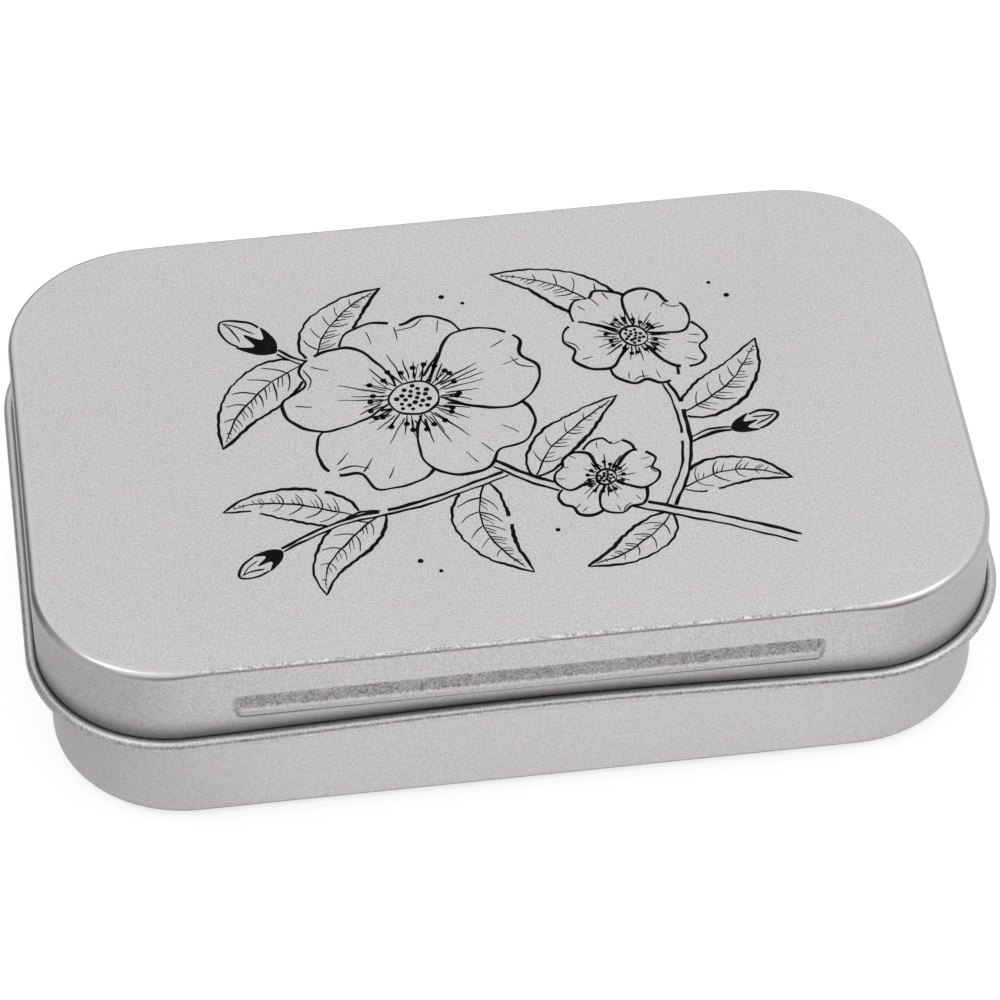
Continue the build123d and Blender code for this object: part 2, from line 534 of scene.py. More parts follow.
def drawStroke(points, kind):
    # one pen line: wavering, thick and thin, cut where something in front hides it
    width, thinStart, thinEnd, gap = spray["pens"][kind]
    line = smoothLine(points)
    waver = [pen.uniform(0, 6.283) for _ in range(5)]  # the last one only keeps the draws in order
    amount = spray["wobble"] * pen.uniform(0.6, 1.2)
    step = spray["step"]
    total = (len(line) - 1) * step
    lifted = pen.uniform(0.25, 0.8) * total if gap and pen.random() < gap else None
    run = []
    for k in range(len(line)):
        s = k * step
        sway = amount * (math.sin(s * 1.1 + waver[0]) + 0.6 * math.sin(s * 2.7 + waver[1]))
        fat = 1 + 0.25 * (math.sin(s * 0.45 + waver[2]) * 0.8 + 0.5 * math.sin(s * 1.9 + waver[3]))
        edge = min(s / (thinStart * 4 + 0.01), (total - s) / (thinEnd * 4 + 0.01), 1.0)
        half = width / 2 * fat * (0.35 + 0.65 * math.sqrt(max(edge, 0.0)))
        point = beside(line, k, sway)
        if hidden(point) or (lifted is not None and abs(s - lifted) < spray["lift"]):
            if len(run) > 2:
                strokes.append(run)
            run = []
        else:
            run.append((*point, half))
    if len(run) > 2:
        strokes.append(run)


def cover(points):
    covers.append(smoothLine(points, closed=True)[:-1])


def drawBlot(points):
    shape = smoothLine(points, closed=True)[:-1]
    if not any(hidden(p) for p in shape):
        blots.append(shape)


def drawDot(x, y, radius):
    if not hidden((x, y)):
        dots.append((x, y, radius))


def leafWidth(t, fullness):
    return fullness * math.sin(math.pi * t**0.72) ** 0.9 * (1 - 0.25 * t)


def leafEdge(mid, width, side):
    # toothed all along, but for its two ends
    edge = []
    for k in range(len(mid)):
        t = k / (len(mid) - 1)
        w = leafWidth(t, width)
        if 0.08 < t < 0.95:
            saw = (k * spray["step"] / spray["tooth"]) % 1.0
            w += spray["toothHeight"] * (1 - saw) * min(1, w / 1.5)
        edge.append(beside(mid, k, w * side))
    return edge


def drawLeaf(width, veins, shade, midrib):
    # toothed edges, midrib, side veins, and hatching on the shaded half
    mid = smoothLine(midrib)
    n = len(mid)
    edges = {side: leafEdge(mid, width, side) for side in (-1, 1)}
    for side, edge in edges.items():
        drawStroke(evenSteps(edge), "leafShade" if side == shade else "leaf")
    drawStroke(evenSteps(mid[: int(n * 0.93)]), "midrib")
    for v in range(veins):
        t = 0.16 + 0.68 * v / (veins - 1)
        k = int(t * (n - 1))
        way = wayAt(mid, k)
        for side in (-1, 1):
            reach = leafWidth(t + 0.1, width) * pen.uniform(0.66, 0.86)
            lean = reach * 0.75
            bow = [(0, 0), (lean * 0.38, side * reach * 0.55), (lean, side * reach)]
            drawStroke([stepFrom(mid[k], way, *step) for step in bow], "sideVein")
            if side == shade:  # short hatching between the veins
                for extra in (0.28, 0.56):
                    at = min(k + int(extra * (n - 1) * 0.68 / (veins - 1)), n - 2)
                    far = leafWidth(at / (n - 1), width) * pen.uniform(0.3, 0.55)
                    drawStroke([mid[at], stepFrom(mid[at], way, far * 0.8, side * far)], "hatch")
    covers.append(edges[1] + edges[-1][::-1])


def drawPetal(length, width, notch, lines, placed):
    shape = [(length * a, width * b) for a, b in spray["petalEdge"]]
    shape[spray["notchPoint"]] = (length - notch, shape[spray["notchPoint"]][1])
    outline = placed(
        [(a + pen.uniform(-0.025, 0.025) * length, b + pen.uniform(-0.04, 0.04) * width) for a, b in shape]
    )
    drawStroke(outline, "petal")
    if pen.random() < 0.6:  # a turned-over lip at the petal's edge
        lip = [(length * 0.97, -width * 0.40), (length * 0.88, -width * 0.20)]
        lip.append((length * 0.90 - notch * 0.4, width * 0.06))
        drawStroke(placed(lip), "lip")
    for k in range(lines):
        f = -1 + 2 * (k + 0.5) / lines + pen.uniform(-0.08, 0.08)
        start, end = 0.24, pen.uniform(0.42, 0.66) - 0.1 * abs(f)
        fold = [(start, 0.26), ((start + end) / 2, 0.44), (end, 0.62)]
        kind = "outerFold" if k in (0, lines - 1) else "fold"
        drawStroke(placed([(length * a, width * f * b) for a, b in fold]), kind)
    for f in (-0.55, 0.0, 0.5):  # creases at the rim
        if pen.random() < 0.75:
            f += pen.uniform(-0.12, 0.12)
            crease = [(length * 0.92, width * f), (length * pen.uniform(0.74, 0.8), width * f * 0.9)]
            drawStroke(placed(crease), "crease")
    cover(outline)


def drawBlossom(at, radius, start, squash, lean, lines):
    # the heart first, because the petals lie behind it
    def spot(r, a):
        return turned([(r * math.cos(a), r * math.sin(a))], 0, at, squash, lean)[0]

    core = radius * 0.2
    ring = [spot(core, k * math.pi / 6) for k in range(12)]
    for k in range(int(9 + radius)):  # seeds in a spiral
        x, y = spot(core * 0.78 * math.sqrt((k + 0.5) / (9 + radius)), k * 2.399)
        drawDot(x, y, 0.12 + 0.012 * radius * pen.uniform(0.6, 1.2))
    filaments = int(10 + radius * 1.2)
    for k in range(filaments):
        a = 2 * math.pi * k / filaments + pen.uniform(-0.1, 0.1)
        r = core * pen.uniform(1.55, 2.05)
        tip = spot(r, a + 0.08)
        drawStroke([spot(core * 1.02, a), tip], "filament")
        drawDot(*tip, 0.17 + 0.012 * radius)
    drawStroke(ring + ring[:1], "heart")
    cover(ring)
    for k in spray["petals"]:
        angle = start + 2 * math.pi * k / len(spray["petals"]) + pen.uniform(-0.07, 0.07)
        length = radius * pen.uniform(0.95, 1.05)
        placed = partial(turned, angle=angle, at=at, squash=squash, lean=lean)
        drawPetal(length, radius * 0.5, radius * spray["notch"], lines, placed)


def drawStem(share, course):
    # two lines a little apart
    mid = smoothLine(course)
    n = len(mid)
    half = spray["stemWidth"] * share / 2
    left, right = ([beside(mid, k, half * (1.15 - 0.4 * k / n) * side) for k in range(n)] for side in (1, -1))
    drawStroke(left, "stem")
    drawStroke(right, "stemShade")
    covers.append(left + right[::-1])


def drawBud(at, angle, length):
    # a closed bud in its calyx
    def placed(shares):
        return turned([(length * a, length * b) for a, b in shares], angle, at)

    foot, half = spray["neck"]
    calyx = placed([(foot, -half / length)] + spray["calyx"] + [(foot, half / length)])
    drawBlot(calyx)
    cover(calyx)
    outline = placed(spray["budEdge"])
    drawStroke(outline[1:], "bud")
    drawStroke(placed([(0.4, -0.12), (0.72, -0.08), (0.95, 0)]), "budFold")
    drawStroke(placed([(0.45, 0.16), (0.7, 0.05), (0.93, 0)]), "budShade")
    cover(outline)


def drawSpray():
    kinds = (("blossoms", drawBlossom), ("buds", drawBud), ("stems", drawStem), ("leaves", drawLeaf))
    for key, draw in kinds + (("dots", drawDot),):
        for values in spray[key]:
            draw(*values)


# finishes

tinplate = {
    "slot": "tinplate",
    "cool": (0.572, 0.574, 0.575),
    "warm": (0.586, 0.573, 0.572),
    # of rubbed metal and scratches, and of painted glints
    "glintAndRubbedColor": (0.78, 0.78, 0.775),
    "wornPolish": 0.08,  # less rough where the metal is rubbed bright
    "burnishPolish": 0.11,  # and where a bend is burnished
    # noises: mm across, detail, roughness
    "grain": (0.11, 2.5, 0.65),  # of the matt surface
    "speckle": (0.286, 2.0, 0.6),
    "mottle": (2.2, 3.0, 0.6),
    "cloud": (22.0, 2.0, 0.5),
    # rubbed spots on drawn metal, partly painted glints of a highlight
    "glintsAndRubbing": (0.42, 3.0, 0.7),  # where drawn metal is bright
    "streak": (4.5, 1.0, 0.5),  # scratches, and where there are any
    "sparse": (14.0, 1.0, 0.5),
    "streakWay": (0, 0, math.radians(34)),
    "streakScale": (1.0, 26.0, 26.0),
    # what a noise's low and high are turned into
    "tintShare": (0.36, 0.64, 0.0, 1.0),
    "grainShade": (0.2, 0.8, 0.72, 1.28),
    "speckleShade": (0.25, 0.75, -0.03, 0.03),
    "cloudShade": (0.3, 0.7, -0.02, 0.02),
    # drawn metal: a coarser grain, darker on average, partly the painted shade of the ridge's slope
    "drawnGrainAndPaintedShade": (0.3, 0.7, 0.2, 1.42),
    "burnishShade": (0.3, 0.7, 1.0, 1.04),
    "streakShare": (0.735, 0.76, 0.0, 1.0),
    "sparseShare": (0.52, 0.60, 0.0, 0.35),
    "glintsAndRubbingShare": (0.45, 0.62, 0.0, 0.8),
    "grainRough": (0.2, 0.8, -0.05, 0.05),
    "mottleRough": (0.3, 0.7, 0.39, 0.43),  # the metal's roughness, to which the grain adds
    # how dark painted shade makes the metal
    "darkestPaintedShade": 0.36,
    # the relief's depths in mm; drawn bends have a coarser grain, which sparkles
    "grainDepth": 0.012,
    "drawnDepth": 0.10,
    "mottleDepth": 0.006,
    "mottleStrength": 0.5,
    "burnishStrength": 0.15,
}


def newFinish(name):
    finish = bpy.data.materials.new(name)
    finish.use_nodes = True
    finish.node_tree.nodes.clear()
    return finish, finish.node_tree


def showWith(tree, shader, output="BSDF"):
    addNode(tree, "ShaderNodeOutputMaterial", Surface=shader.outputs[output])


def objectPlace(tree):
    return tree.nodes.new("ShaderNodeTexCoord").outputs["Object"]


def noiseOf(tree, where, size, detail, roughness):
    # a noise whose features are about `size` mm across
    scale = 0.5 / (size * mm)
    node = addNode(tree, "ShaderNodeTexNoise", Vector=where, Scale=scale, Detail=detail, Roughness=roughness)
    return node.outputs["Fac"]


def pointValue(tree, key):
    return addNode(tree, "ShaderNodeAttribute", {"attribute_name": key}).outputs["Fac"]


def stretched(tree, value, low, high, toLow=0.0, toHigh=1.0):
    limits = {"From_Min": low, "From_Max": high, "To_Min": toLow, "To_Max": toHigh}
    return addNode(tree, "ShaderNodeMapRange", {"clamp": True}, Value=value, **limits).outputs["Result"]


def calculated(tree, operation, first, second):
    node = addNode(tree, "ShaderNodeMath", {"operation": operation}, slot0=first, slot1=second)
    return node.outputs["Value"]


def blended(tree, amount, first, second, way="MIX"):
    first, second = (c if isinstance(c, bpy.types.NodeSocket) else (*c, 1) for c in (first, second))
    settings = {"data_type": "RGBA", "blend_type": way}
    return addNode(tree, "ShaderNodeMix", settings, slot0=amount, slot6=first, slot7=second).outputs[2]


def tinplateFinish():
    t = tinplate
    finish, tree = newFinish("mattTinplate")
    where = objectPlace(tree)

    def ranged(value, key):
        return stretched(tree, value, *t[key])

    def joined(operation, first, second):
        return calculated(tree, operation, first, second)

    kinds = ("grain", "speckle", "mottle", "cloud", "glintsAndRubbing", "sparse")
    grain, speckle, mottle, cloud, glintsAndRubbing, sparse = (noiseOf(tree, where, *t[kind]) for kind in kinds)
    wearAndPaintedLightFac = pointValue(tree, "edgeWear")
    drawnAndPaintedLight = stretched(tree, wearAndPaintedLightFac, 0, 1)
    smooth = stretched(tree, pointValue(tree, "burnish"), 0, 1)
    # color: two tints in patches, under the shade of the grain and of drawn metal, the latter partly painted
    # shade, then darkened where shade is painted
    tint = blended(tree, ranged(mottle, "tintShare"), t["cool"], t["warm"])
    faint = joined("ADD", ranged(speckle, "speckleShade"), ranged(cloud, "cloudShade"))
    shade = joined("ADD", ranged(grain, "grainShade"), faint)
    shade = blended(tree, drawnAndPaintedLight, shade, ranged(grain, "drawnGrainAndPaintedShade"))
    shade = blended(tree, smooth, shade, ranged(mottle, "burnishShade"))
    # painted shade: darker where the value is below 0
    paintedDarkening = stretched(tree, wearAndPaintedLightFac, -1, 0, t["darkestPaintedShade"], 1.0)
    plate = blended(tree, 1.0, blended(tree, 1.0, tint, shade, "MULTIPLY"), paintedDarkening, "MULTIPLY")
    # bright: rubbed spots on drawn metal, partly painted glints, and a few short handling scratches
    drawnOut = {"Rotation": t["streakWay"], "Scale": t["streakScale"]}
    lengthwise = addNode(tree, "ShaderNodeMapping", Vector=where, **drawnOut).outputs["Vector"]
    streak = noiseOf(tree, lengthwise, *t["streak"])
    scratch = joined("MULTIPLY", ranged(streak, "streakShare"), ranged(sparse, "sparseShare"))
    bright = joined("MAXIMUM", joined("MULTIPLY", drawnAndPaintedLight, ranged(glintsAndRubbing, "glintsAndRubbingShare")), scratch)
    rough = joined("ADD", ranged(grain, "grainRough"), ranged(mottle, "mottleRough"))
    rough = joined("SUBTRACT", rough, joined("MULTIPLY", bright, t["wornPolish"]))
    rough = joined("SUBTRACT", rough, stretched(tree, smooth, 0, 1, 0, t["burnishPolish"]))
    fine = addNode(
        tree,
        "ShaderNodeBump",
        Strength=stretched(tree, smooth, 0, 1, 1.0, t["burnishStrength"]),
        Distance=stretched(tree, drawnAndPaintedLight, 0, 1, t["grainDepth"] * mm, t["drawnDepth"] * mm),
        Height=grain,
    )
    relief = addNode(
        tree,
        "ShaderNodeBump",
        Strength=t["mottleStrength"],
        Distance=t["mottleDepth"] * mm,
        Height=mottle,
        Normal=fine.outputs["Normal"],
    )
    shader = addNode(
        tree,
        "ShaderNodeBsdfPrincipled",
        Base_Color=blended(tree, bright, plate, t["glintAndRubbedColor"]),
        Metallic=1.0,
        Roughness=rough,
        Normal=relief.outputs["Normal"],
    )
    showWith(tree, shader)
    return finish


ink = {
    "height": 0.015,  # mm above the plate
    "color": (0.003, 0.003, 0.0035),
    "thin": (0.009, 0.009, 0.0095),
    "thinShare": (0.5, 0.72),
    "coat": (0.35, 3.0, 0.6),  # noise: mm across, detail, roughness
    "coatRough": (0.3, 0.7, 0.43, 0.57),
    "coatDepth": 0.004,  # mm
    "coatStrength": 0.4,
    "shine": 0.03,
    "dotSides": 12,
}


def inkFinish():
    finish, tree = newFinish("blackInk")
    coat = noiseOf(tree, objectPlace(tree), *ink["coat"])
    relief = addNode(
        tree, "ShaderNodeBump", Strength=ink["coatStrength"], Distance=ink["coatDepth"] * mm, Height=coat
    )
    shader = addNode(
        tree,
        "ShaderNodeBsdfPrincipled",
        Base_Color=blended(tree, stretched(tree, coat, *ink["thinShare"]), ink["color"], ink["thin"]),
        Roughness=stretched(tree, coat, *ink["coatRough"]),
        Specular_IOR_Level=ink["shine"],
        Normal=relief.outputs["Normal"],
    )
    showWith(tree, shader)
    return finish


mattTinplate = tinplateFinish()
blackInk = inkFinish()
sweep = sweepTree()
print("finishes and the sweep are ready")


# lid: a shallow pressing, its open edge rolled outward

lidShape = {
    "top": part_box("lid")[1].z / mm - ink["height"],  # the print lies on it
    "panelRows": (0.5, 0.15, 0.02),  # rows of the flat top, so far inside its bend
    "edgeRadius": 0.95,  # of the top's bend at the ends and round the corners
    "frontEdge": 0.5,
    "backEdge": 0.6,
    "edgeBlend": 4.0,  # half of the length over which one radius turns into the other
    "edgeSteps": 14,
    "curlWrap": 300,
    "curlSteps": 26,
    "ridgeOuter": (57.0, 2.4, 15.9),  # length, height, middle of the slot it rises from
    "ridgeOut": 0.52,
    "ridgeSlope": 1.2,
    "ridgeSoft": 0.16,
    "ridgeTurn": 0.34,  # width of the edge that turns over
    "ridgeLast": 1.0,  # length over which each end runs out
    "ridgeFace": 0.25,  # the face begins so far below the slot's middle
    "bowTop": 14.7,  # below this the front is drawn up and in towards its middle
    "bowRise": 0.57,
    "bowRiseReach": 45.0,
    "bowInward": 0.4,
    "bowInwardReach": 33.0,
    "windowWidth": 9.8,
    "windowZs": (11.55, 13.00),
    # rows down the skirt and stations along the front: the place, and the step after it
    "skirtRows": (
        [(17.45, 0.2), (17.25, 0.07), (16.9, 0.12), (16.15, 0.06), (15.75, 0.16), (15.25, 0.05)]
        + [(14.6, 0.12), (13.05, 0.05), (12.95, 0.13), (12.35, 0.1), (11.65, 0.1), (11.55, 0.05)]
    ),
    "frontStops": [(0, 1.6), (25.6, 0.5), (26.6, 0.2), (27.0, 0.1), (28.7, 0.3), (29.3, 0.9)],
    "plainWall": (15.0, 18.0),  # heights between which the back is plain
    # wear is 1 on drawn, sparkling metal, partly a painted highlight; below 0 the metal is painted darker,
    # mostly as painted shade
    # on the top's bend the wear also paints its highlight
    "edgeWear": (1.0, 62, 22),  # on the top's bend: amount, angle, spread
    "curlWear": (0.45, 385, 35),
    # painted shade in the crease where the curl's edge meets the skirt
    "curlCreaseShade": (-0.4, 480, 28),
    "backWear": 0.45,  # share of the wear along the back
    # painted shade in the crease over the rolled edge
    "paintedGrooveShade": -0.75,
    "grooveMiddle": 12.4,  # the height where most of it lies
    "grooveAbove": 1.4,  # how far it spreads
    "grooveUnder": 0.5,
    # the drawn slope's grain is darker on average, partly painted shade, with painted glints
    "slopeDrawnAndShaded": 0.7,
    "slopeFade": 0.3,
    "pressed": 0.03,  # metal pressed out by more than this is drawn
    # the ridge's face is painted darker
    "faceDarker": 0.28,
    "faceFade": 0.2,
    "lineOut": 0.16,  # the line of painted shade under the ridge: outside the slot's edge, half width, fade
    "lineHalf": 0.42,
    "lineFade": 0.08,
    "lineEnd": 0.1,  # how far from the slot's ends it stops, and its fade there
    "lineEndFade": 0.9,
}


def paintedGrooveShade(z):
    # painted shade in the crease over the rolled edge; less of it at the very bottom, which lies in its own
    # shade
    s = lidShape
    above = max(z - s["grooveMiddle"], 0) / s["grooveAbove"]
    under = max(s["grooveMiddle"] - z, 0) / s["grooveUnder"]
    return s["paintedGrooveShade"] * math.exp(-(above**2) - under**2)


def lidRows():
    s = lidShape
    bend = (skirtRadius - s["edgeRadius"], s["top"] - s["edgeRadius"])
    rows = [(bend[0] - back, s["top"], 0) for back in s["panelRows"]]
    rows += arcRows(bend, s["edgeRadius"], 90, 0, s["edgeSteps"], wearAndLightAt(*s["edgeWear"]))
    stops = [(bend[1], 0.25), (bend[1] - 0.25, 0.8)] + s["skirtRows"] + [(tin["curlHeight"], 1)]
    rows += [(skirtRadius, z, paintedGrooveShade(z)) for z in spread(stops)[1:]]
    middle = (curlMiddle, tin["curlHeight"])
    inner = tin["curlRadius"] - tin["sheet"]
    bright, creaseShade = wearAndLightAt(*s["curlWear"]), wearAndLightAt(*s["curlCreaseShade"])

    def wearAndLightMarks(a):
        return bright(a) + creaseShade(a)

    rows += arcRows(middle, inner, 180, 180 + s["curlWrap"], s["curlSteps"], wearAndLightMarks, first=1)
    return rows


def tightenBend(co):
    # the top's bend is scaled about the sharp corner it rounds; returns how round it is left, 0 to 1
    s = lidShape
    x, y, z = co.T
    dx, dy = np.maximum(np.abs(x) - cornerX, 0), np.maximum(np.abs(y) - cornerY, 0)
    reach = np.hypot(dx, dy)
    start = s["edgeRadius"] + tin["near"]
    bend = (z > s["top"] - start) & (reach > skirtRadius - start)
    share = softly(np.clip((cornerX + s["edgeBlend"] - np.abs(x)) / (2 * s["edgeBlend"]), 0, 1))
    radius = s["edgeRadius"] - share * (s["edgeRadius"] - np.where(y < 0, s["frontEdge"], s["backEdge"]))
    move = bend * (1 - radius / s["edgeRadius"])
    out = move * (skirtRadius - reach) / np.maximum(reach, 0.001)
    co[:, 2] += move * (s["top"] - z)
    co[:, 0] += out * dx * np.sign(x)
    co[:, 1] += out * dy * np.sign(y)
    return bend * (1 - share)


def ridgeHeight(x, z):
    # a long soft slope above, and all round the rest an edge that turns over steeply
    s = lidShape
    length, height, middle = s["ridgeOuter"]
    soft = np.linspace(-s["ridgeSoft"], s["ridgeSoft"], 9)
    slope = np.mean([np.clip((middle + height / 2 - z + o) / s["ridgeSlope"], 0, 1) for o in soft], axis=0)
    into = np.clip(slotDepth(x, z, *s["ridgeOuter"]) / s["ridgeTurn"], 0, 1)
    edge = np.sqrt(1 - (1 - into) ** 2)
    last = softly(np.clip((length / 2 - np.abs(x)) / s["ridgeLast"], 0, 1))
    return s["ridgeOut"] * np.minimum(np.minimum(slope, edge), last)


def ridgeWearAndShade(x, z, ridge):
    # the slope is drawn metal, its grain darker, partly as painted shade; the face is painted darker, and a
    # line of painted shade runs under it
    s = lidShape
    length, height, middle = s["ridgeOuter"]
    low = middle - s["ridgeFace"]
    pressed = ridge > s["pressed"]
    drawnAndPaintedLight = s["slopeDrawnAndShaded"] * pressed * np.clip((z - low) / s["slopeFade"], 0, 1)
    outside = np.abs(slotDepth(x, z, length, height, middle) + s["lineOut"])
    line = np.clip((s["lineHalf"] - outside) / s["lineFade"], 0, 1)
    ends = np.clip((length / 2 - s["lineEnd"] - np.abs(x)) / s["lineEndFade"], 0, 1)
    below = np.clip((low - z) / s["faceFade"], 0, 1)
    return drawnAndPaintedLight, below * np.maximum(line * ends, s["faceDarker"] * pressed)


def fading(x, reach):
    # 1 in the middle, smoothly down to 0 at reach
    return np.where(np.abs(x) < reach, 0.5 + 0.5 * np.cos(math.pi * x / reach), 0.0)


def pressLid(mesh):
    s = lidShape
    co = readPoints(mesh)
    wearAndLightMarks = readValues(mesh, "edgeWear")
    burnish = tightenBend(co)
    x, y, z = co.T
    wearAndLightMarks *= (1 - burnish) * np.where((y > 0) & (wearAndLightMarks > 0), s["backWear"], 1)
    onFront = (y < -cornerY - skirtRadius + 0.01) & (np.abs(x) <= cornerX)
    skirt = onFront & (z < s["top"] - s["edgeRadius"]) & (z > tin["curlHeight"] + 1.5)
    ridge = ridgeHeight(x, z) * skirt
    y -= ridge
    drawnAndPaintedLight, paintedDarkening = ridgeWearAndShade(x, z, ridge)
    wearAndLightMarks += drawnAndPaintedLight
    # painted shade in a line under the ridge, and a darker face
    wearAndLightMarks -= skirt * paintedDarkening
    # pressing the ridge has drawn the rolled edge below it up and in
    share = np.clip((s["bowTop"] - z) / (s["bowTop"] - tin["curlHeight"]), 0, 1) * (y < -cornerY)
    z += s["bowRise"] * share * fading(x, s["bowRiseReach"])
    y += s["bowInward"] * share * fading(x, s["bowInwardReach"]) * (np.abs(x) <= cornerX)
    writePoints(mesh, co)
    writeValues(mesh, "edgeWear", np.clip(wearAndLightMarks, -1, 1))
    writeValues(mesh, "burnish", burnish)


def makeLid():
    s = lidShape
    half, middle = s["windowWidth"] / 2, tin["earSpacing"] / 2
    backStops = [(0, 3.0)]  # closer together at the windows' sides
    for edge, step in ((middle - half, 2.4), (middle + half, 1.9)):
        backStops += [(edge - 0.1, 0.1), (edge, 0.1), (edge + 0.1, step)]
    sheet = sweepSheet("lid", lidRows(), s["frontStops"], backStops, (cornerX, cornerY))
    pressLid(sheet.data)
    dropWorkingValues(sheet.data)
    back = cornerY + skirtRadius
    holes = earHoles(half, (back - 0.01, back + 0.01), s["windowZs"])
    panel = (s["top"], back - s["edgeRadius"] - 0.4)
    done = finishSheet(sheet, holes, panel, (back, *s["plainWall"]))
    done.name = "tinLid"
    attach(done, "lid")
    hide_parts("lid")
    print("lid:", len(done.data.polygons), "faces")
    return done


# base: a deeper pressing on a foot ring, its rim rolled inward, two ears bent out at the back

baseShape = {
    "wallRadius": 13.35,  # of the wall's corners
    "axisX": 32.10,  # where they turn about
    "axisY": 16.30,
    "panelRise": 0.4,  # of the floor inside the foot ring
    "panelReach": 9.284,  # of the floor's flat part
    "panelBend": 0.683,
    "footWidth": 1.6,
    "edgeRadius": 1.5,
    "edgeSteps": 14,
    "rimHeight": 19.90,
    "rimRadius": 0.5,
    "rimWrap": 270,
    "rimSteps": 20,
    "snapOuter": (50.0, 1.1, 15.6),
    "snapInner": (49.3, 0.4, 15.6),
    "snapOut": 0.38,
    "snapRounding": 0.1,
    "earWidth": 9.0,
    "slit": 0.3,
    "notchFloor": 11.56,
    "notchYs": (27.0, 31.0),
    "notchTop": 25.0,
    "earBore": 0.71,
    "earBend": 0.15,
    "earStops": (11.70, 11.88),  # heights of the rows below that bend
    "earWrap": 240,
    "earSteps": 26,
    "burnish": 0.28,  # the deeper pressing is drawn smoother
    # on the bottom's bend this is wear only
    "edgeWear": (0.3, 300, 18),  # amount, angle, spread
    "rimWear": (0.4, 90, 35),
    "frontStops": [(0, 3.0), (23.6, 0.2), (24.2, 0.09), (25.2, 0.4), (26.0, 2.2)],
    "plainWall": (5.0, 9.0),
}


def baseRows():
    s = baseShape
    rise, bend, reach = s["panelRise"], s["panelBend"], s["panelReach"]
    rows = [(reach - 0.6, rise, 0), (reach - 0.15, rise, 0)]
    rows += arcRows((reach, rise - bend), bend, 90, 45, 4)
    footIn = reach + 2 * bend * math.sin(math.radians(45))
    rows += arcRows((footIn, bend), bend, 225, 270, 4, first=1)
    footOut = footIn + s["footWidth"]
    rows += [(footIn + 0.1, 0, 0), (footOut - 0.1, 0, 0)]
    turn = (footOut, s["edgeRadius"])
    rows += arcRows(turn, s["edgeRadius"], 270, 360, s["edgeSteps"], wearAndLightAt(*s["edgeWear"]))
    # up the wall, closer together at the notch's floor and at the snap bead
    wall = spread(
        [(s["edgeRadius"], 0.2), (1.7, 2.5), (11.3, 0.13), (s["notchFloor"], 0.1), (11.66, 1.0)]
        + [(14.7, 0.15), (15.0, 0.06), (16.2, 0.15), (16.5, 0.8), (19.5, 0.15), (s["rimHeight"], 1)]
    )
    rows += [(s["wallRadius"], z, 0) for z in wall[1:]]
    rim = (s["wallRadius"] - s["rimRadius"], s["rimHeight"])
    rows += arcRows(rim, s["rimRadius"], 0, s["rimWrap"], s["rimSteps"], wearAndLightAt(*s["rimWear"]), first=1)
    return rows


def earPath():
    # radius and height along the ear's lower face, from the wall and round the lid's rolled edge
    s = baseShape
    bendAt = tin["curlHeight"] + s["earBore"] - s["earBend"]
    start, pin = s["wallRadius"] + s["earBend"], hingeY - s["axisY"]
    path = [(s["wallRadius"], z) for z in (*s["earStops"], bendAt)]
    path += [row[:2] for row in arcRows((start, bendAt), s["earBend"], 180, 90, 4, first=1)]
    path += [(start + (pin - start) * k / 4, tin["curlHeight"] + s["earBore"]) for k in (1, 2, 3)]
    rolled = arcRows((pin, tin["curlHeight"]), s["earBore"], 90, 90 - s["earWrap"], s["earSteps"])
    return path + [row[:2] for row in rolled]


def growEars(bm):
    s = baseShape
    for side in (-1, 1):
        middle = side * tin["earSpacing"] / 2
        row = []
        for v in bm.verts:
            onFloor = v.co.y > 0 and abs(v.co.z / mm - s["notchFloor"]) < tin["near"]
            if onFloor and abs(v.co.x / mm - middle) < s["earWidth"] / 2 + 0.01:
                row.append(v)
        row.sort(key=lambda v: v.co.x)
        for radius, height in earPath():
            nextRow = [bm.verts.new((v.co.x, (s["axisY"] + radius) * mm, height * mm)) for v in row]
            for corners in zip(row, row[1:], nextRow[1:], nextRow):
                bm.faces.new(corners)
            row = nextRow


def snapHeight(x, z):
    # 0 outside the bead's outer slot, 1 inside the inner one, a slope between, its edges rounded
    s = baseShape
    total = np.zeros_like(x)
    halves = (-1, -0.5, 0, 0.5, 1)
    offsets = [(i, j) for i in halves for j in halves if i * i + j * j <= 1.1]
    for i, j in offsets:
        px, pz = x + i * s["snapRounding"], z + j * s["snapRounding"]
        into = slotDepth(px, pz, *s["snapOuter"])
        left = -slotDepth(px, pz, *s["snapInner"])
        total += np.where(left <= 0, 1.0, np.clip(into / np.maximum(into + left, 1e-6), 0, 1))
    return s["snapOut"] * total / len(offsets)


def pressBase(mesh):
    s = baseShape
    co = readPoints(mesh)
    x, y, z = co.T
    front = np.abs(y + s["axisY"] + s["wallRadius"]) < 0.005
    y -= snapHeight(x, z) * (front & (np.abs(x) <= s["axisX"]) & (z < s["rimHeight"]))
    writePoints(mesh, co)
    writeValues(mesh, "burnish", np.full(len(co), s["burnish"]))


def makeBase():
    s = baseShape
    half, middle = s["earWidth"] / 2, tin["earSpacing"] / 2
    outer = half + s["slit"]
    backStops = (
        [(0, 3.0), (middle - outer - 0.1, 0.1), (middle - outer, 0.3), (middle - half, 0.15)]
        + [(middle - half + 0.15, 2.2), (middle + half - 0.15, 0.15), (middle + half, 0.3)]
        + [(middle + outer, 0.1), (middle + outer + 0.1, 1.9)]
    )
    sheet = sweepSheet("base", baseRows(), s["frontStops"], backStops, (s["axisX"], s["axisY"]))
    pressBase(sheet.data)
    dropWorkingValues(sheet.data)
    holes = earHoles(outer, s["notchYs"], (s["notchFloor"], s["notchTop"]))
    panel = (s["panelRise"], s["axisY"] + s["panelReach"] - 0.5)
    backWall = (s["axisY"] + s["wallRadius"], *s["plainWall"])
    done = finishSheet(sheet, holes, panel, backWall, growEars)
    done.name = "tinBase"
    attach(done, "base")
    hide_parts("base")
    print("base:", len(done.data.polygons), "faces")
    return done


makeLid()
makeBase()


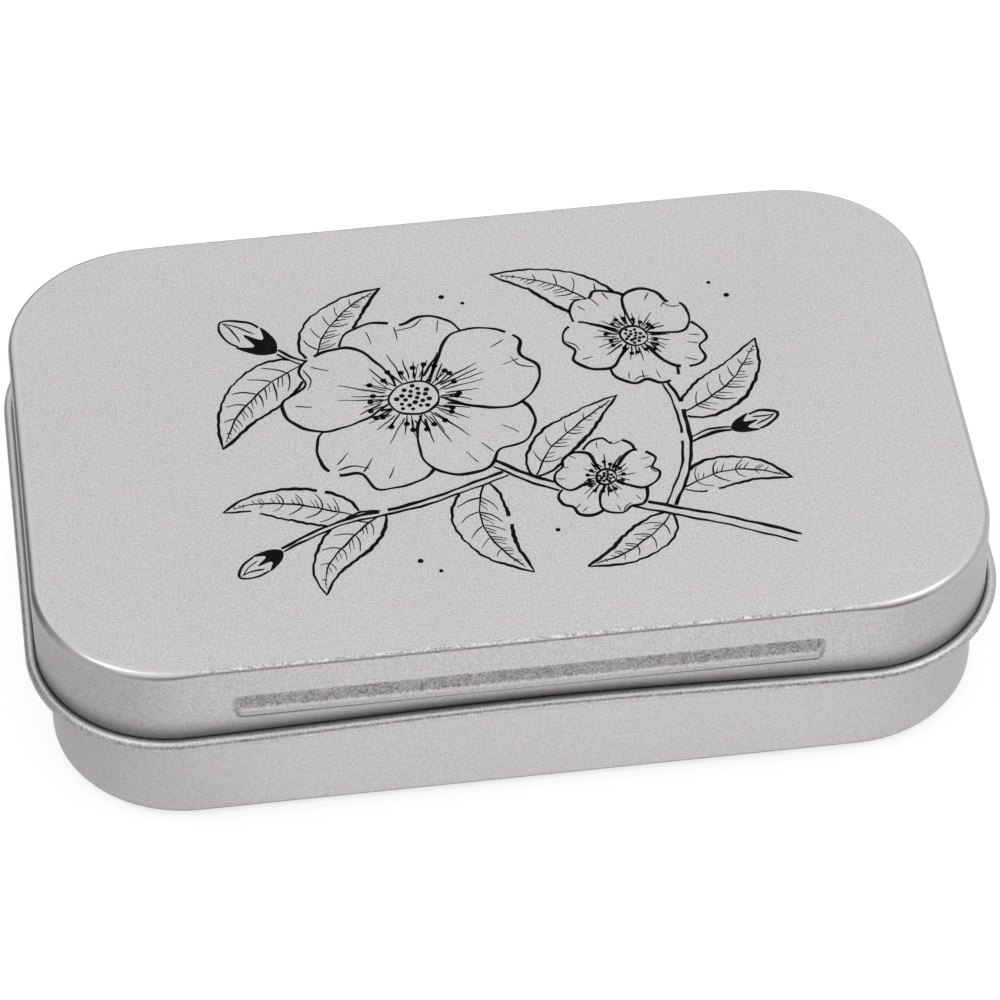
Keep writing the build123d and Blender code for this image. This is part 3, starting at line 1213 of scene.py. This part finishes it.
# print on the lid: pen lines, dots and small solids of black ink

def dotTree():
    kinds = {"Points": "Geometry", "Dot Height": "Float", "Sides": "Int", "Finish": "Material"}
    tree, given = newTree("inkDots", kinds)
    disc = addNode(
        tree, "GeometryNodeMeshCylinder", Vertices=given["Sides"], Radius=1.0, Depth=given["Dot Height"]
    )
    size = named(tree, "size", "FLOAT")
    scale = addNode(tree, "ShaderNodeCombineXYZ", X=size, Y=size, Z=1.0)
    laid = addNode(
        tree,
        "GeometryNodeInstanceOnPoints",
        Points=given["Points"],
        Instance=disc.outputs["Mesh"],
        Scale=scale.outputs["Vector"],
    )
    return finished(tree, laid.outputs["Instances"], given["Finish"])


def makeInkLines():
    z = lidShape["top"] * mm
    chains = [[(x * mm, y * mm, z) for x, y, half in run] for run in strokes]
    place = sum(chains, [])
    outward = []
    for run in strokes:
        for k, (x, y, half) in enumerate(run):
            ux, uy = wayAt(run, k)
            outward.append((-uy * half * mm, ux * half * mm, 0))
    lines = lineObject("penLines", chains, {"place": place, "outward": outward})
    h = ink["height"] * mm
    box = [(-1, 0), (1, 0), (1, h), (-1, h)]
    cut = {"cut": [(r, 0, v) for r, v in box]}
    section = lineObject("penSection", [[(r, v, 0) for r, v in box]], cut, closed=True)
    inputs = {"Section": section, "Close Ends": True, "Finish": blackInk}
    done = growWith(lines, sweep, inputs, "penLines")
    bpy.data.objects.remove(section)
    return done


def makeInkDots():
    z = lidShape["top"] + ink["height"] / 2
    points = newMesh("dots", [(x * mm, y * mm, z * mm) for x, y, r in dots])
    writeValues(points, "size", np.array([r * mm for x, y, r in dots]))
    inputs = {"Dot Height": ink["height"] * mm, "Sides": ink["dotSides"], "Finish": blackInk}
    return growWith(addObject("dots", points), dotTree(), inputs, "penDots")


def makePrint():
    bm = bmesh.new()
    for piece in (makeInkLines(), makeInkDots()):
        bm.from_mesh(piece.data)
        bpy.data.objects.remove(piece)
    low, high = lidShape["top"] * mm, (lidShape["top"] + ink["height"]) * mm
    for shape in blots:
        bottom, top = ([bm.verts.new((x * mm, y * mm, z)) for x, y in shape] for z in (low, high))
        bm.faces.new(bottom)
        bm.faces.new(top)
        for k in range(len(shape)):
            bm.faces.new((bottom[k - 1], bottom[k], top[k], top[k - 1]))
    bmesh.ops.recalc_face_normals(bm, faces=bm.faces)
    mesh = bpy.data.meshes.new("lidPrint")
    bm.to_mesh(mesh)
    bm.free()
    dropWorkingValues(mesh)
    mesh.materials.clear()
    mesh.materials.append(blackInk)
    done = addObject("lidPrint", mesh)
    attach(done, "lid")
    print("print:", len(strokes), "pen lines,", len(dots), "dots,", len(mesh.polygons), "faces")
    return done


drawSpray()
makePrint()


# studio

studio = {
    "floorColor": (0.93, 0.93, 0.93),
    "floorGlow": (0.649, 0.636, 0.633),  # what the metal sees of the floor besides its shade
    "cameraGlow": (0.69, 0.69, 0.69),
    "floorShade": 0.45,
    "floorReach": 3.0,  # lengths here are in metres
    "floorLevel": -0.0001,
    "worldLight": 0.9,  # what lights the floor; the metal sees 1
    # in the metal the floor is darker to the left and right: painted shade
    "paperLeft": (0.022, 0.056, 0.36),  # where it begins and ends to fall off, and to what share
    "paperRight": (0.028, 0.056, 0.6),
    # lights: place, size, radiance
    "overhead": ((0.0, -0.16, 0.6), (0.5, 0.3), 0.06),
    "leftBox": ((-0.37, -0.13, 0.58), (0.26, 0.26), 2.0),
    "rightBox": ((0.39, -0.16, 0.56), (0.26, 0.26), 2.0),
    "lightAim": (0, 0, 0.01),
    # the dark room round the paper, which the metal shows near the horizon
    "ringInner": (0.10, 0.12),
    "ringOuter": (0.20, 0.17),
    "ringLevel": 0.0001,
    "dark": (0.235, 0.205, 0.198),
    "light": (0.72, 0.715, 0.71),  # the right side of the room is lighter than the left
    "leftFront": (0.60, 0.595, 0.59),
    "leftBack": (0.11, 0.104, 0.101),
    # walls: height, a colour, the colour it blends into, and between which places
    "walls": {
        "front": (0.095, "leftFront", "dark", ("X", -0.16, -0.04)),
        "right": (0.10, "light", "light", ("X", -0.03, 0.06)),
        "back": (0.04, "dark", "light", ("X", -0.03, 0.06)),
        "left": (0.2, "leftFront", "leftBack", ("Y", -0.03, 0.09)),
    },
    # a dark card the metal sees under the tin: a painted shadow
    "paintedShadowColor": (0.12, 0.12, 0.12),  # of the floor right under the tin
    "underRadius": 13.05 * mm,
    "underLevel": -0.00005,
    "underPoints": 48,
}


def seenDirectly(tree):
    # 1 for the camera and for what metal and glass show, 0 for the light that falls on things
    path = tree.nodes.new("ShaderNodeLightPath")
    inMetal = calculated(tree, "MAXIMUM", path.outputs["Is Glossy Ray"], path.outputs["Is Transmission Ray"])
    return calculated(tree, "MAXIMUM", path.outputs["Is Camera Ray"], inMetal)


def makeWorld():
    world = bpy.data.worlds.new("whiteRoom")
    world.use_nodes = True
    tree = world.node_tree
    tree.nodes.clear()
    strength = stretched(tree, seenDirectly(tree), 0, 1, studio["worldLight"], 1.0)
    light = addNode(tree, "ShaderNodeBackground", Color=(1, 1, 1, 1), Strength=strength)
    addNode(tree, "ShaderNodeOutputWorld", Surface=light.outputs["Background"])
    bpy.context.scene.world = world


def addSoftbox(name, at, size, radiance):
    light = bpy.data.lights.new(name, "AREA")
    light.shape = "RECTANGLE"
    light.size, light.size_y = size
    light.energy = radiance * math.pi * size[0] * size[1]
    way = (Vector(studio["lightAim"]) - Vector(at)).normalized()
    turn = way.to_track_quat("-Z", "Y").to_matrix().to_4x4()
    addObject(name, light).matrix_world = Matrix.Translation(at) @ turn


def placeAlong(tree, axis):
    return addNode(tree, "ShaderNodeSeparateXYZ", Vector=objectPlace(tree)).outputs[axis]


def cardFinish(name, color, lastColor=None, reach=None):
    # one colour, or one that blends into another along a way of the room
    finish, tree = newFinish(name)
    shown = (*color, 1)
    if lastColor:
        across = stretched(tree, placeAlong(tree, reach[0]), *reach[1:])
        shown = blended(tree, across, color, lastColor)
    showWith(tree, addNode(tree, "ShaderNodeBsdfDiffuse", Color=shown))
    return finish


def floorFinish():
    # white to the camera; in the metal it falls off to the left and right, a painted shade; a soft shadow
    # under the tin
    s = studio
    finish, tree = newFinish("paleFloor")
    shade = addNode(tree, "ShaderNodeBsdfDiffuse", Color=(*s["floorColor"], 1))
    dim = addNode(tree, "ShaderNodeBsdfDiffuse", Color=(*(c * s["floorShade"] for c in s["floorColor"]), 1))
    x = placeAlong(tree, "X")
    near, far, least = s["paperLeft"]
    left = stretched(tree, x, -far, -near, least, 1.0)
    near, far, least = s["paperRight"]
    right = stretched(tree, x, near, far, 1.0, least)
    camera = tree.nodes.new("ShaderNodeLightPath").outputs["Is Camera Ray"]
    share = calculated(tree, "MAXIMUM", camera, calculated(tree, "MULTIPLY", left, right))
    glowColor = blended(tree, camera, s["floorGlow"], s["cameraGlow"])
    glow = addNode(tree, "ShaderNodeEmission", Color=glowColor, Strength=share)
    both = addNode(tree, "ShaderNodeAddShader", slot0=dim.outputs["BSDF"], slot1=glow.outputs["Emission"])
    mix = addNode(
        tree,
        "ShaderNodeMixShader",
        slot0=seenDirectly(tree),
        slot1=shade.outputs["BSDF"],
        slot2=both.outputs["Shader"],
    )
    showWith(tree, mix, "Shader")
    return finish


def addCard(name, corners, finish):
    mesh = newMesh(name, corners, faces=[tuple(range(len(corners)))])
    mesh.materials.append(finish)
    card = addObject(name, mesh)
    return card


def addMirrorCard(name, corners, finish):
    # shows only in the metal
    card = addCard(name, corners, finish)
    card.visible_camera = False
    card.visible_diffuse = False
    card.visible_shadow = False


def rectangle(halfX, halfY, z):
    return [(-halfX, -halfY, z), (halfX, -halfY, z), (halfX, halfY, z), (-halfX, halfY, z)]


def makeWalls():
    s = studio
    inner = rectangle(*s["ringInner"], s["ringLevel"])
    outer = rectangle(*s["ringOuter"], s["ringLevel"])
    for k, (name, (top, color, lastColor, reach)) in enumerate(s["walls"].items()):
        n = (k + 1) % 4
        finish = cardFinish(name + "Wall", s[color], s[lastColor], reach)
        addMirrorCard(name + "Ring", [outer[k], outer[n], inner[n], inner[k]], finish)
        raised = [(*outer[n][:2], top), (*outer[k][:2], top)]
        addMirrorCard(name + "Card", [outer[k], outer[n], *raised], finish)


def makePaintedShadowUnderTin():
    # a painted shadow: a dark card under the tin, seen only in the metal
    s = studio
    edge = []
    for k in range(s["underPoints"]):
        a = 2 * math.pi * (k + 0.5) / s["underPoints"]
        x = math.copysign(baseShape["axisX"] * mm, math.cos(a)) + s["underRadius"] * math.cos(a)
        y = math.copysign(baseShape["axisY"] * mm, math.sin(a)) + s["underRadius"] * math.sin(a)
        edge.append((x, y, s["underLevel"]))
    addMirrorCard("underTin", edge, cardFinish("underTin", s["paintedShadowColor"]))


def makeStudio():
    makeWorld()
    reach = studio["floorReach"]
    addCard("floor", rectangle(reach, reach, studio["floorLevel"]), floorFinish())
    for name in ("overhead", "leftBox", "rightBox"):
        addSoftbox(name, *studio[name])
    makeWalls()
    makePaintedShadowUnderTin()


# the camera stands where the photograph was taken from; lengths in mm, angles in degrees
view = {
    "azimuth": -6.486,
    "elevation": 44.17,
    "roll": -1.07,
    "distance": 528.887,
    "target": (0.823, -0.426, 10.0),
    "lens": 190.888,
    "sensor": 36.0,
}


def makeCamera():
    a, e, roll = (math.radians(view[key]) for key in ("azimuth", "elevation", "roll"))
    back = Vector((math.sin(a) * math.cos(e), -math.cos(a) * math.cos(e), math.sin(e)))
    right = (-back).cross(up).normalized()
    top = right.cross(-back)
    turnedRight = right * math.cos(roll) + top * math.sin(roll)
    turnedTop = top * math.cos(roll) - right * math.sin(roll)
    data = bpy.data.cameras.new("camera")
    data.sensor_width = view["sensor"]
    data.lens = view["lens"]
    data.clip_start = 0.01
    camera = addObject("camera", data)
    place = (Vector(view["target"]) + back * view["distance"]) * mm
    frameOf = Matrix((turnedRight, turnedTop, back)).transposed().to_4x4()
    camera.matrix_world = Matrix.Translation(place) @ frameOf
    bpy.context.scene.camera = camera


makeStudio()
makeCamera()
bpy.context.scene.view_settings.view_transform = "Standard"
print("studio and camera are ready")
